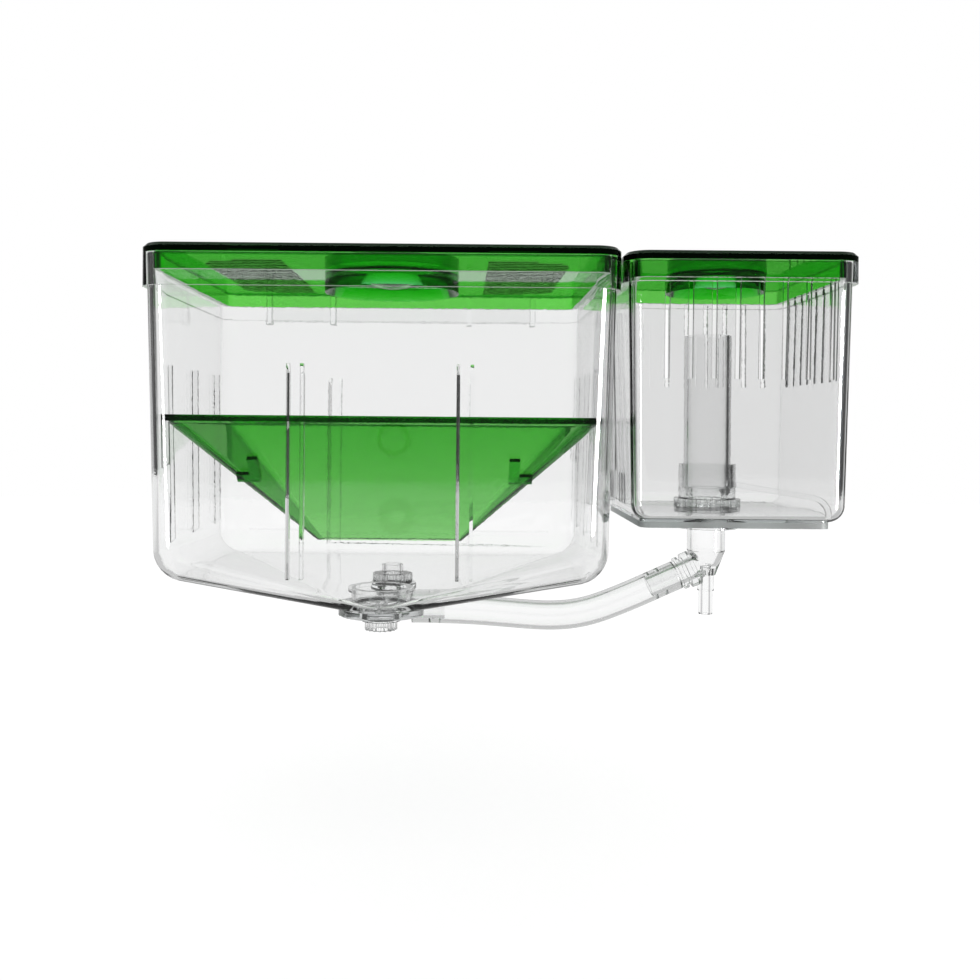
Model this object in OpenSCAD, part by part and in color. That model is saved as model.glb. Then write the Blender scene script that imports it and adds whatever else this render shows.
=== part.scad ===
// Hanging fish breeding box: a breeding tank with a spawning hopper and a funnel floor,
// and a slitted filter tank whose air-driven riser draws water from under the funnel floor.
// Every *_drop is a height measured down from the top edge of the breeding tank's rim.
// Every *_setback is a distance behind the breeding tank's front wall.
// The origin is on the rear face of the hanger strap, at mid width and mid height of the rim.

/* [Breeding tank] */
// Outer width at the top of the walls
tank_w = 162.4; // [150:0.2:180]
// Outer depth at the top of the walls
tank_d = 120; // [110:1:140]
// Thickness of walls and floor
wall = 1.8; // [1.4:0.1:2.6]
// Radius of the upright corners
corner_r = 8; // [7:0.5:14]
// Radius of the bottom edges
bottom_r = 12; // [8:0.5:13]
// Lean of each wall from the rim to the bottom edge
draft = 1.5; // [0.5:0.1:2.5]
// Drop to the underside of the floor at the front corners
front_drop = 113.6; // [111:0.1:117]
// Drop to the underside of the floor at the back corners
back_drop = 116.3; // [113:0.1:119]
// Drop to the underside of the floor at the drain
sump_drop = 122.5; // [120:0.1:124]
// Height of the rim band
rim_h = 11.3; // [8:0.1:14]
// How far the rim band stands out of the wall
rim_out = 1.3; // [1:0.1:2.4]

/* [Hanger strap] */
// Thickness of the strap behind the rim
strap_t = 1.8; // [1.2:0.1:3]
// Space between rim and strap, where a hanger's tongue slides in
strap_gap = 3.3; // [2.4:0.1:4]
// Thickness of the webs that carry the strap
web_t = 2.4; // [1.6:0.1:3]
// Centre distance of the two inner webs
inner_web_span = 62; // [50:1:70]
// Centre distance of the two outer webs
outer_web_span = 120; // [100:1:130]
// Height of the webs
web_h = 12.8; // [9:0.1:16]

/* [Guides in the breeding tank] */
// Centre distance of the divider rails on the front and back walls
rail_span = 58; // [40:1:80]
// Width of the channel between the two ribs of a rail
rail_gap = 3.5; // [2.5:0.1:5]
// Thickness of one rib of a rail
rail_t = 1.2; // [1:0.1:2]
// How far a rail stands into the tank
rail_out = 4; // [2.5:0.1:5]
// How far a rail's sloped top stands into the tank at its highest
rail_head_out = 1.6; // [1:0.1:2.4]
// Drop to the top of rails and side ribs
guide_drop = 37.4; // [25:0.1:50]
// Drop to the lower end of the rails
rail_end_drop = 111.3; // [104:0.1:112]
// Drop to the lower end of the side ribs
rib_end_drop = 102; // [95:0.1:104]
// Spacing of the three upright ribs on each side wall
rib_pitch = 36; // [28:1:42]
// Thickness of a side rib
rib_t = 1.6; // [1:0.1:2.4]
// How far ribs and hopper supports stand into the tank
rib_out = 2.2; // [1.8:0.1:3]
// Centre distance of the two hopper supports on each side wall
support_pitch = 88; // [84:1:94]
// Thickness of a hopper support
support_t = 2.4; // [1.6:0.1:4]
// Height of a hopper support
support_h = 17.4; // [10:0.1:25]

/* [Lids] */
// Thickness of a lid's plate
lid_t = 3.1; // [2.4:0.1:4]
// Bevel around a lid's top edge
lid_bevel = 1.2; // [0.4:0.1:1.6]
// Height of the skirt under a lid
skirt_h = 5.7; // [3:0.1:7]
// Thickness of the skirt
skirt_t = 2; // [1.4:0.1:3]
// Gap between skirt and tank wall
skirt_clear = 0.4; // [0.3:0.1:0.8]
// Radius of the feeding port in the breeding tank's lid
port_r = 23.7; // [18:0.1:28]
// Radius of the port in the filter tank's lid
filter_port_r = 15.7; // [12:0.1:20]
// Thickness of the collar around a port
collar_t = 2.8; // [2:0.1:4]
// Depth of a port's collar below the lid's plate
collar_h = 6.3; // [4:0.1:8]
// Width of the step on which a port's cap rests
cap_step = 1.7; // [1.2:0.1:2.2]
// Thickness of a port cap
cap_t = 1.3; // [1:0.1:1.6]
// Gap around a port cap
cap_clear = 0.4; // [0.3:0.1:0.6]
// Thickness of the finger bar in a port cap
grip_t = 2; // [1.4:0.1:3]

/* [Lid vents] */
// Distance of a vent's inner edge from the middle of the lid
vent_in = 37; // [34:1:45]
// Length of a vent's longest slot
vent_w = 30; // [20:1:31]
// Setback of the first slot
vent_setback = 22; // [18:1:30]
// Number of slots in a vent
vent_count = 23; // [10:1:23]
// Spacing of the slots
vent_pitch = 4; // [3.4:0.1:4]
// Width of a slot
vent_slot = 1.8; // [1:0.1:2.4]
// Radius of a vent's outer corners
vent_r = 12; // [6:1:14]

/* [Spawning hopper] */
// Drop to the top of the hopper's flange
hopper_drop = 55.1; // [52:0.1:58]
// Thickness of the flange
flange_t = 2.2; // [1.6:0.1:3]
// Gap between the flange and what it slides past
hopper_clear = 0.8; // [0.5:0.1:1.2]
// How far the flange stands out over the panels
flange_lip = 1.5; // [1.2:0.1:2]
// Thickness of the hopper's panels, measured level
panel_t = 2.2; // [1.6:0.1:3]
// Drop to the slit at the bottom of the hopper
slit_drop = 103.3; // [98:0.1:105]
// Length of the bottom slit
slit_w = 56; // [40:1:60]
// Width of the bottom slit
slit_gap = 5; // [4.6:0.1:7]
// Distance of the front panel's lugs from the middle
lug_in = 45.2; // [40:0.1:46]
// Length of a lug's level arm
lug_w = 8.6; // [6:0.1:9]
// Height of a lug's upright arm
lug_h = 12; // [8:0.1:14]
// Width of a lug's arms
lug_bar = 3.8; // [2:0.1:4]
// How far a lug stands out of the panel
lug_out = 1.6; // [1:0.1:2.4]
// Drop to the lower edge of a lug
lug_drop = 78.3; // [76:0.1:79]

/* [Drain] */
// Setback of the drain
sump_setback = 16; // [15.6:0.1:20]
// Radius of the level floor around the drain
sump_r = 14; // [13.6:0.1:14.2]
// Radius of the thick seat under the drain
drain_seat_r = 15; // [13:0.1:16]
// How far the seat stands below the floor
drain_seat_t = 2.3; // [1.8:0.1:3]
// Radius of the drain bore
drain_r = 5; // [4:0.1:6]
// Radius of the strainer cup
strainer_r = 10.4; // [9:0.1:10.6]
// Height of the strainer cup
strainer_h = 7.6; // [6:0.1:9]
// Thickness of the strainer cup
strainer_t = 1.3; // [1:0.1:2]
// How far the strainer's lip stands out
strainer_lip = 1.2; // [0.8:0.1:1.4]
// Number of slots in the strainer's base
strainer_slots = 8; // [4:1:12]
// Gap between the cup and its seat
strainer_clear = 0.35; // [0.3:0.05:0.6]
// Gap around the plug in the drain bore
plug_clear = 0.08; // [0.05:0.01:0.1]
// Radius of the plug's flange
plug_flange_r = 7; // [6.6:0.1:9]
// Thickness of the plug's flange
plug_flange_t = 1.3; // [1:0.1:2]
// Radius of the plug's finger nub
nub_r = 5.8; // [4:0.1:6]
// Height of the plug's finger nub
nub_h = 3.2; // [2:0.1:6]

/* [Drain elbow and its nut] */
// Distance of the elbow from the middle of the tank
elbow_x = 2; // [-4:0.1:6]
// Outer radius of the elbow's pipe
pipe_r = 4; // [3.4:0.1:4.4]
// Inner radius of the elbow's pipe
pipe_bore_r = 2.8; // [2:0.1:3]
// Radius of the thick seat around the elbow
elbow_seat_r = 9; // [8:0.1:10]
// How far the elbow's seat stands below and above the floor
seat_proud = 1; // [0.8:0.1:1.2]
// Radius of the elbow's flange and seal
elbow_flange_r = 6.9; // [6:0.1:7]
// Thickness of the elbow's flange
elbow_flange_t = 1.2; // [1:0.1:2]
// Drop to the axis of the elbow's barb
barb_drop = 128.3; // [128.1:0.1:130]
// Length of the barb from the elbow's centre
barb_len = 20; // [16:0.5:24]
// Spacing of the two sharp rings on a barb
barb_pitch = 4; // [3:0.1:5]
// Drop to the open top of the elbow's pipe
pipe_top_drop = 111.6; // [110:0.1:113]
// Radius of the nut on the elbow's pipe
drain_nut_r = 7.6; // [6.5:0.1:9]
// Height of the nut on the elbow's pipe
drain_nut_h = 3.4; // [2.5:0.1:5]

/* [Seals and fits] */
// Thickness of the two rubber seals on the drain
seal_t = 1; // [0.6:0.1:1.6]
// Thickness of the rubber seal under the filter tank
floor_seal_t = 1.4; // [0.8:0.1:2]
// Gap between pieces that are fixed together
fit = 0.05; // [0.02:0.01:0.1]
// Gap under pieces that lift off
seat_gap = 0.1; // [0.05:0.05:0.3]

/* [Filter tank] */
// Outer width at the top of the walls
filter_w = 78.2; // [70:0.2:90]
// Outer depth at the top of the walls
filter_d = 84; // [78:1:90]
// Gap between the two rims
rim_space = 1.3; // [0.6:0.1:1.8]
// Setback of the filter tank's front wall
filter_setback = 5; // [2:0.1:10]
// Radius of the upright corners
filter_corner_r = 7; // [5:0.5:10]
// Radius of the bottom edges
filter_bottom_r = 6; // [4:0.5:8]
// Lean of each wall from rim to bottom
filter_draft = 1.8; // [0.5:0.1:2.5]
// Drop to the underside of the floor
filter_drop = 90.9; // [88:0.1:94]
// Height of the rim band
filter_rim_h = 7.3; // [5:0.1:8]
// How far the rim band stands out of the wall
filter_rim_out = 1.8; // [1.6:0.1:2.6]
// How far the filter tank's top edge lies below the breeding tank's
filter_sink = 0.6; // [0:0.1:1.5]
// Thickness of the foot plate under the floor
foot_t = 2.2; // [1.4:0.1:3]
// How far the foot plate stops short of the right wall
foot_short = 5.4; // [3:0.1:12]
// Number of slits in the front wall and in the back wall
slit_count = 8; // [4:1:8]
// Spacing of the slits
slit_pitch = 8.1; // [7:0.1:8.2]
// Width of a slit
slit_t = 1.7; // [1:0.1:2.4]
// Drop to the top of the slits
slit_top_drop = 6.3; // [6:0.1:12]
// Height of the slits
slit_h = 35; // [20:0.1:50]
// Shift of the front and back slits away from the breeding tank
slit_shift = 2; // [0:0.1:3]
// Number of low slits in the wall next to the breeding tank
low_slit_count = 6; // [2:2:10]
// Spacing of the low slits
low_slit_pitch = 5.8; // [4:0.1:7]
// Height of the low slits
low_slit_h = 11; // [6:0.1:14]
// Height of the low slits' sills above the floor
low_sill_h = 3; // [2:0.1:8]
// Thickness of the curved rib on the front wall
brow_t = 1.8; // [1:0.1:2.4]
// How far the curved rib stands into the tank
brow_out = 2.4; // [1:0.1:3]
// Radius of the curved rib's bend
brow_r = 8; // [5:0.5:10]
// Slope of the curved rib, in degrees
brow_slope = 9; // [4:0.5:14]
// Length of the curved rib's straight stretch
brow_len = 30; // [20:0.5:36]

/* [Link between the tanks] */
// Width of the T-shaped runner on the filter tank
runner_w = 7; // [5:0.1:10]
// Thickness of the runner's head and of the channel's lips
runner_t = 1.4; // [1:0.1:1.5]
// Gap around the runner in its channel
runner_clear = 0.3; // [0.2:0.05:0.4]
// Drop to the top of the runner
runner_drop = 15; // [14:0.5:40]
// Gap along X between the breeding tank's rim band and the near face of the runner's head
runner_space = 0.5; // [0.3:0.1:0.6]
// Drop to the top of the channel on the breeding tank
channel_drop = 56; // [42:1:58]
// Height of the channel
channel_h = 32; // [20:1:40]
// Thickness of the channel's sides and floor
channel_t = 2; // [1.4:0.1:3]

/* [Airlift riser] */
// How far the riser stands from the filter tank's middle, towards the breeding tank
riser_shift = 2.6; // [0:0.1:4]
// Outer radius of the riser tube
riser_r = 8.75; // [8:0.05:9.5]
// Wall of the riser tube
riser_wall = 1.5; // [1:0.1:1.6]
// Drop to the top of the riser tube
riser_drop = 23.2; // [22:0.1:35]
// Radial gap of the riser tube in its collar
riser_clear = 0.08; // [0.05:0.01:0.1]
// Depth of the riser's socket in the collar
socket_depth = 9; // [6:0.1:10]
// Outer radius of the collar
collar_r = 10.65; // [10.4:0.05:12]
// Height of the collar
riser_collar_h = 13.1; // [12:0.1:16]
// Radius of the locking nut
nut_r = 12.5; // [11:0.1:14]
// Height of the locking nut
nut_h = 3.9; // [3:0.1:5]
// Number of grip notches on each nut
nut_notches = 18; // [12:1:24]
// Radius of a grip notch
notch_r = 0.7; // [0.4:0.1:1]

/* [Airlift elbow and air nipple] */
// Outer radius of the elbow's stem
stem_r = 7.15; // [6.8:0.05:7.4]
// Inner radius of the elbow's stem
stem_bore_r = 5.5; // [4.5:0.1:5.8]
// Radius of the elbow's flange and seal
stem_flange_r = 11.5; // [10:0.1:13]
// Thickness of the elbow's flange
stem_flange_t = 2; // [1.4:0.1:3]
// Drop to the centre of the bend
bend_drop = 109.7; // [108:0.1:111]
// Drop to where the stem starts to narrow
shoulder_drop = 105.2; // [104:0.1:106]
// Slope of the outlet below level, in degrees
outlet_tilt = 24; // [20:0.5:28]
// Distance from the bend's centre to the hose's end
outlet_neck = 12.3; // [11:0.1:13]
// Distance from the bend's centre to the outlet's tip
outlet_len = 24; // [20:0.5:28]
// Radius of the outlet's neck
outlet_neck_r = 5.2; // [4.6:0.1:5.6]
// Radius of the outlet's collar
outlet_collar_r = 6.8; // [6:0.1:7]
// Length of the outlet's collar
outlet_collar_len = 3.2; // [2:0.1:4]
// Distance from the bend's centre to the collar
outlet_collar_at = 5.2; // [4:0.1:6]
// Radius of the outlet's ring
outlet_ring_r = 6.3; // [5.6:0.1:6.8]
// Length of the outlet's ring
outlet_ring_len = 1.6; // [1:0.1:2]
// Distance from the bend's centre to the ring
outlet_ring_at = 9.8; // [9:0.1:10.4]
// Drop to the elbow's lower end
elbow_end_drop = 114.5; // [114:0.1:118]
// Radius of the elbow's lower end
elbow_end_r = 3.6; // [3.2:0.1:4]
// Outer radius of the air nipple
nipple_r = 2.6; // [2.3:0.1:2.8]
// Inner radius of the air nipple
nipple_bore_r = 1.2; // [0.8:0.1:1.4]
// Length of the nipple's free end
nipple_len = 9; // [8:0.5:20]
// Radius of the nipple's neck between its free end and the elbow
nipple_neck_r = 3.1; // [2.9:0.1:3.2]
// Length of the nipple's neck
nipple_neck_len = 6; // [4:0.1:8]
// Radius of the nipple's seat in the elbow
nipple_seat_r = 2.2; // [1.8:0.1:2.4]
// Length of the nipple's seat in the elbow
nipple_seat = 3; // [2:0.1:3.2]
// Wall between the nipple's seat and the elbow's cavity
throat_t = 1; // [0.8:0.1:1.4]

/* [Hose] */
// Outer radius of the hose
hose_r = 5.5; // [5:0.1:5.6]
// Stretch of the hose over a barb
barb_stretch = 0.3; // [0.1:0.05:0.5]

/* [Hidden] */

$fn = 96;
// Facets of the rounded forms that hull() blends
soft_fn = 32;
// Overlap of cutting shapes past the surface that they cut
over = 1;
// Number of flats around the curved rib's bend
bend_steps = 8;
// Height of the thin slabs that start a hull
slab = 0.2;

clear_plastic = [0.86, 0.9, 0.92, 0.45];
green_plastic = [0.2, 0.6, 0.18, 0.8];
soft_clear = [0.82, 0.86, 0.88, 0.5];
seal_rubber = [0.75, 0.78, 0.8];

// Places in the shared frame
rim_top = rim_h / 2;
rear_wall_y = -(strap_t + strap_gap + rim_out);
tank_y = rear_wall_y - tank_d / 2;
front_wall_y = rear_wall_y - tank_d;
rim_rear_y = rear_wall_y + rim_out;
sump_y = front_wall_y + sump_setback;
sump_z = rim_top - sump_drop;
filter_x = tank_w / 2 + rim_out + rim_space + filter_rim_out + filter_w / 2;
filter_y = front_wall_y + filter_setback + filter_d / 2;
filter_top = rim_top - filter_sink;
filter_floor_z = rim_top - filter_drop;
filter_floor_top_z = filter_floor_z + wall + fit;

// Inward lean of a breeding tank wall at a given drop
function lean(drop) = draft * drop / (front_drop - bottom_r);
// Inward lean of a filter tank wall at a given drop
function filter_lean(drop) = filter_draft * drop / (filter_drop - filter_bottom_r);
// Drop of the floor's underside on the middle line, at a given setback behind the drain
floor_fall = (sump_drop - back_drop) / (tank_d - draft - bottom_r - sump_setback - sump_r);
function floor_drop(setback) = sump_drop - (setback - sump_setback - sump_r) * floor_fall;

// Hopper sizes that follow the tank
hopper_z = rim_top - hopper_drop;
hopper_inset = wall + lean(hopper_drop + flange_t) + hopper_clear;
hopper_w = tank_w - 2 * hopper_inset;
hopper_d = tank_d - 2 * (hopper_inset + rail_out);
hopper_corner_r = corner_r - wall;
panel_h = slit_drop - hopper_drop - flange_t;

// Drain sizes that follow each other
seat_low_z = sump_z - drain_seat_t;
strainer_floor_z = seat_low_z + wall;
elbow_y = filter_y;
elbow_floor_drop = floor_drop(elbow_y - front_wall_y);
elbow_low_z = rim_top - elbow_floor_drop - seat_proud;
elbow_high_z = rim_top - elbow_floor_drop + wall + seat_proud;
barb_z = rim_top - barb_drop;

// Near face of the runner's head
runner_x = tank_w / 2 + rim_out + runner_space;

// Riser stack, from the foot plate down and from the filter floor up
riser_x = filter_x - riser_shift;
foot_low_z = filter_floor_z - foot_t;
stem_flange_z = foot_low_z - floor_seal_t;
nut_top_z = filter_floor_top_z + nut_h;
collar_top_z = nut_top_z + riser_collar_h;
riser_foot_z = collar_top_z - socket_depth;
shoulder_z = rim_top - shoulder_drop;
bend_z = rim_top - bend_drop;
elbow_end_z = rim_top - elbow_end_drop;
nipple_neck_z = elbow_end_z - nipple_neck_len;
nipple_low_z = nipple_neck_z - nipple_len;

// Middle line of the hose, in X and Z; it lies in the plane of the two elbows
hose_route = [
  [9.5, -122.7], [15, -122.7], [21, -122.8], [28.5, -123], [36.5, -123.4], [45, -124],
  [53, -124.6], [60.6, -124.95], [67.8, -124.7], [74.4, -123.7], [81, -121.85], [87.7, -119.3],
  [94, -116.65], [99.9, -114], [105.4, -111.5], [110.9, -109.05]
];
// Number of flat sides around the hose
hose_sides = 12;

// ---------- Shared shapes ----------

// The four corner circles of a rounded rectangle
module corner_circles(w, d, r) {
  for (x = [r - w / 2, w / 2 - r], y = [r - d / 2, d / 2 - r]) translate([x, y]) circle(r);
}

module rounded_rect(w, d, r) {
  square([w, d - 2 * r], center = true);
  square([w - 2 * r, d], center = true);
  corner_circles(w, d, r);
}

module tube(r_out, r_in, h) {
  difference() {
    cylinder(r = r_out, h = h);
    translate([0, 0, -over]) cylinder(r = r_in, h = h + 2 * over);
  }
}

module mirrored_x() {
  children();
  mirror([1, 0, 0]) children();
}

// A plate of rounded outline with a bevelled top edge
module bevelled_plate(w, d, r, t) {
  linear_extrude(t - lid_bevel) rounded_rect(w, d, r);
  hull() {
    translate([0, 0, t - lid_bevel - slab]) linear_extrude(slab) corner_circles(w, d, r);
    translate([0, 0, t - slab]) linear_extrude(slab)
      corner_circles(w - 2 * lid_bevel, d - 2 * lid_bevel, r - lid_bevel);
  }
}

// A lid: plate, skirt and a port with its collar and step. The plate's underside is at z = 0.
module lid(w, d, r, inner_w, inner_d, inner_r, hole_r) {
  difference() {
    union() {
      bevelled_plate(w, d, r, lid_t);
      translate([0, 0, -skirt_h])
        linear_extrude(skirt_h) difference() {
          rounded_rect(inner_w, inner_d, inner_r);
          rounded_rect(inner_w - 2 * skirt_t, inner_d - 2 * skirt_t, inner_r - skirt_t);
        }
      translate([0, 0, -collar_h]) cylinder(r = hole_r + collar_t, h = collar_h);
    }
    translate([0, 0, -collar_h - over]) cylinder(r = hole_r, h = collar_h + lid_t + 2 * over);
    translate([0, 0, lid_t - cap_t]) cylinder(r = hole_r + cap_step + cap_clear, h = cap_t + over);
  }
}

// The cap of a port: flange, shallow bowl and finger bar. The lid's underside is at z = 0.
module port_cap(hole_r) {
  bowl_r = hole_r - cap_clear;
  rise = lid_t - cap_t + seat_gap;
  low = -collar_h + cap_t;
  difference() {
    union() {
      translate([0, 0, rise]) cylinder(r = hole_r + cap_step, h = cap_t);
      translate([0, 0, low]) cylinder(r = bowl_r, h = rise - low);
    }
    translate([0, 0, low + cap_t]) cylinder(r = bowl_r - skirt_t, h = rise - low + over);
  }
  translate([-bowl_r + skirt_t / 2, -grip_t / 2, low + cap_t / 2])
    cube([2 * bowl_r - skirt_t, grip_t, rise + cap_t / 2 - low]);
}

// A ridged nut with its bore
module grip_nut(r, h, bore_r) {
  difference() {
    cylinder(r = r, h = h);
    translate([0, 0, -over]) cylinder(r = bore_r, h = h + 2 * over);
    for (i = [0 : nut_notches - 1])
      rotate(i * 360 / nut_notches)
        translate([r, 0, -over]) cylinder(r = notch_r, h = h + 2 * over, $fn = 16);
  }
}

// ---------- Breeding tank ----------

// The tank's form: rounded upright corners and a floor that falls to the drain
module tank_form(inset, top) {
  end_x = tank_w / 2 - draft - bottom_r;
  end_y = tank_d / 2 - draft - bottom_r;
  hull() {
    translate([0, tank_y, rim_top]) linear_extrude(top)
      corner_circles(tank_w - 2 * inset, tank_d - 2 * inset, corner_r - inset, $fn = soft_fn);
    for (x = [-end_x, end_x]) {
      translate([x, tank_y - end_y, rim_top - front_drop + bottom_r])
        sphere(bottom_r - inset, $fn = soft_fn);
      translate([x, tank_y + end_y, rim_top - back_drop + bottom_r])
        sphere(bottom_r - inset, $fn = soft_fn);
    }
    translate([0, sump_y, sump_z + inset]) cylinder(r = sump_r - inset, h = slab, $fn = 2 * soft_fn);
  }
}

// One rib of a divider rail on the front wall, as a plate across X, with a sloped top
module rail_rib(x) {
  low = rail_end_drop;
  translate([x + rail_t / 2, front_wall_y, rim_top]) rotate([90, 0, -90])
    linear_extrude(rail_t)
      polygon([
        [0, -guide_drop],
        [-(wall + lean(guide_drop) + rail_head_out), -guide_drop],
        [-(wall + lean(guide_drop) + rail_out), -guide_drop - rail_out],
        [-(wall + lean(low) + rail_out), -low],
        [0, -low]
      ]);
}

module rail_pair() {
  for (side = [-1, 1]) rail_rib(rail_span / 2 + side * (rail_gap + rail_t) / 2);
}

module front_rails() {
  mirrored_x() rail_pair();
}

module back_rails() {
  translate([0, 2 * tank_y, 0]) mirror([0, 1, 0]) front_rails();
}

// A plate on the right wall: an upright rib or a hopper support
module side_rib(y, t, high, low) {
  reach = wall + rib_out;
  translate([tank_w / 2, y + t / 2, rim_top]) rotate([90, 0, 0])
    linear_extrude(t)
      polygon([
        [0, -high],
        [-(reach + lean(high)), -high],
        [-(reach + lean(low)), -low + rib_out],
        [-(wall / 2 + lean(low)), -low],
        [0, -low]
      ]);
}

module side_guides() {
  top = hopper_drop + flange_t + seat_gap;
  mirrored_x() {
    for (i = [-1 : 1]) side_rib(tank_y + i * rib_pitch, rib_t, guide_drop, rib_end_drop);
    for (i = [-1, 1]) side_rib(tank_y + i * support_pitch / 2, support_t, top, top + support_h);
  }
}

// Strap behind the rim on four webs, with pockets for hangers
module hanger_strap() {
  span = outer_web_span + web_t;
  translate([-span / 2, -strap_t, -rim_top]) cube([span, strap_t, rim_h]);
  for (x = [inner_web_span, outer_web_span]) mirrored_x()
    translate([x / 2 - web_t / 2, rear_wall_y - wall / 2, rim_top - web_h])
      cube([web_t, -strap_t / 2 - rear_wall_y + wall / 2, web_h]);
}

// Channel on the right wall in which the filter tank's runner hangs
module runner_channel() {
  inner_w = runner_w + 2 * runner_clear;
  low = rim_top - channel_drop - channel_h;
  x0 = tank_w / 2 - wall - lean(channel_drop);
  x1 = runner_x + runner_t + runner_clear + runner_t;
  translate([x0, filter_y, low]) difference() {
    translate([0, -inner_w / 2 - channel_t, 0])
      cube([x1 - x0, inner_w + 2 * channel_t, channel_h]);
    translate([runner_x - runner_clear - x0, -inner_w / 2, channel_t])
      cube([runner_t + 2 * runner_clear, inner_w, channel_h]);
    translate([runner_x - x0, -inner_w / 2 + runner_t, channel_t])
      cube([x1 - x0, inner_w - 2 * runner_t, channel_h]);
  }
}

module main_tank() {
  color(clear_plastic) difference() {
    union() {
      difference() {
        tank_form(0, slab);
        tank_form(wall, over);
      }
      intersection() {
        tank_form(0, slab);
        union() {
          front_rails();
          back_rails();
          side_guides();
        }
      }
      translate([0, tank_y, -rim_top]) linear_extrude(rim_h) difference() {
        rounded_rect(tank_w + 2 * rim_out, tank_d + 2 * rim_out, corner_r + rim_out);
        rounded_rect(tank_w - wall, tank_d - wall, corner_r - wall / 2);
      }
      hanger_strap();
      runner_channel();
      translate([0, sump_y, seat_low_z]) cylinder(r = drain_seat_r, h = drain_seat_t + wall / 2);
      translate([elbow_x, elbow_y, elbow_low_z])
        cylinder(r = elbow_seat_r, h = elbow_high_z - elbow_low_z);
    }
    translate([0, tank_y, rim_top]) linear_extrude(over)
      square([tank_w + 4 * rim_out, tank_d + 4 * rim_out], center = true);
    translate([0, sump_y, strainer_floor_z])
      cylinder(r = strainer_r + strainer_clear, h = strainer_h);
    translate([0, sump_y, seat_low_z - over]) cylinder(r = drain_r, h = strainer_h);
    translate([elbow_x, elbow_y, elbow_low_z - over])
      cylinder(r = pipe_r + fit, h = elbow_high_z - elbow_low_z + 2 * over);
  }
}

// ---------- Lids and caps ----------

// Slots of one vent, shorter where they meet the rounded outer corners
module vent_slots() {
  run = (vent_count - 1) * vent_pitch;
  for (i = [0 : vent_count - 1]) {
    y = i * vent_pitch;
    reach = max(0, vent_r - min(y, run - y));
    cut = vent_r - sqrt(vent_r * vent_r - reach * reach);
    translate([vent_in, front_wall_y + vent_setback + y - vent_slot / 2])
      square([vent_w - cut, vent_slot]);
  }
}

module main_lid() {
  shrink = 2 * (wall + skirt_clear);
  color(green_plastic) difference() {
    translate([0, tank_y, rim_top + seat_gap])
      lid(tank_w + 2 * rim_out, tank_d + 2 * rim_out, corner_r + rim_out,
          tank_w - shrink, tank_d - shrink, corner_r - shrink / 2, port_r);
    translate([0, 0, rim_top - over]) linear_extrude(lid_t + 2 * over)
      mirrored_x() vent_slots();
  }
}

module feeding_cap() {
  color(green_plastic) translate([0, tank_y, rim_top + seat_gap]) port_cap(port_r);
}

module filter_lid() {
  shrink = 2 * (wall + skirt_clear);
  color(green_plastic) translate([filter_x, filter_y, filter_top + seat_gap])
    lid(filter_w + 2 * filter_rim_out, filter_d + 2 * filter_rim_out,
        filter_corner_r + filter_rim_out,
        filter_w - shrink, filter_d - shrink, filter_corner_r - shrink / 2, filter_port_r);
}

module filter_cap() {
  color(green_plastic) translate([filter_x, filter_y, filter_top + seat_gap]) port_cap(filter_port_r);
}

// ---------- Spawning hopper ----------

// The funnel's form: a rounded rectangle that narrows to the slit
module funnel_form(inset, lift) {
  hull() {
    translate([0, tank_y, hopper_z - flange_t]) linear_extrude(slab + lift)
      corner_circles(hopper_w - 2 * inset, hopper_d - 2 * inset, hopper_corner_r, $fn = soft_fn);
    translate([0, tank_y, rim_top - slit_drop - lift]) linear_extrude(slab)
      square([slit_w - 2 * (inset - flange_lip), slit_gap + 2 * (panel_t + flange_lip - inset)],
             center = true);
  }
}

// Notches that let the flange pass the side ribs
module rib_notches() {
  rib_reach = wall + lean(rib_end_drop) + rib_out + hopper_clear;
  height = slit_drop;
  mirrored_x() for (i = [-1 : 1])
    translate([tank_w / 2 - rib_reach, tank_y + i * rib_pitch - rib_t / 2 - hopper_clear,
               hopper_z - height + over])
      cube([rib_reach, rib_t + 2 * hopper_clear, height]);
}

// One L-shaped lug, drawn level in X and upright in Y
module lug_outline() {
  translate([lug_in, 0]) {
    square([lug_bar, lug_h]);
    square([lug_w, lug_bar]);
  }
}

module front_lugs() {
  run = hopper_d / 2 - flange_lip - slit_gap / 2 - panel_t;
  tilt = atan(run / panel_h);
  panel_y = tank_y - hopper_d / 2 + flange_lip;
  at = (lug_drop - hopper_drop - flange_t) / panel_h;
  translate([0, panel_y + at * run, rim_top - lug_drop])
    rotate([90 + tilt, 0, 0]) translate([0, 0, -panel_t / 2])
      linear_extrude(panel_t / 2 + lug_out) mirrored_x() lug_outline();
}

module spawning_hopper() {
  color(green_plastic) difference() {
    union() {
      translate([0, tank_y, hopper_z - flange_t])
        linear_extrude(flange_t) rounded_rect(hopper_w, hopper_d, hopper_corner_r);
      funnel_form(flange_lip, 0);
      front_lugs();
    }
    translate([0, tank_y, hopper_z - flange_t - slab]) linear_extrude(flange_t + over)
      rounded_rect(hopper_w - 2 * (flange_lip + panel_t), hopper_d - 2 * (flange_lip + panel_t),
                   hopper_corner_r - panel_t);
    funnel_form(flange_lip + panel_t, over);
    rib_notches();
  }
}

// ---------- Drain ----------

module drain_strainer() {
  lip_t = strainer_t;
  color(clear_plastic) translate([0, sump_y, strainer_floor_z + seat_gap]) difference() {
    union() {
      cylinder(r = strainer_r, h = strainer_h);
      translate([0, 0, strainer_h - lip_t]) cylinder(r = strainer_r + strainer_lip, h = lip_t);
    }
    translate([0, 0, strainer_t]) cylinder(r = strainer_r - strainer_t, h = strainer_h);
    for (i = [0 : strainer_slots - 1]) rotate(i * 360 / strainer_slots)
      translate([drain_r / 2, -strainer_t / 2, -over])
        cube([strainer_r - 2 * strainer_t - drain_r / 2, strainer_t, strainer_t + 2 * over]);
  }
}

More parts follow.
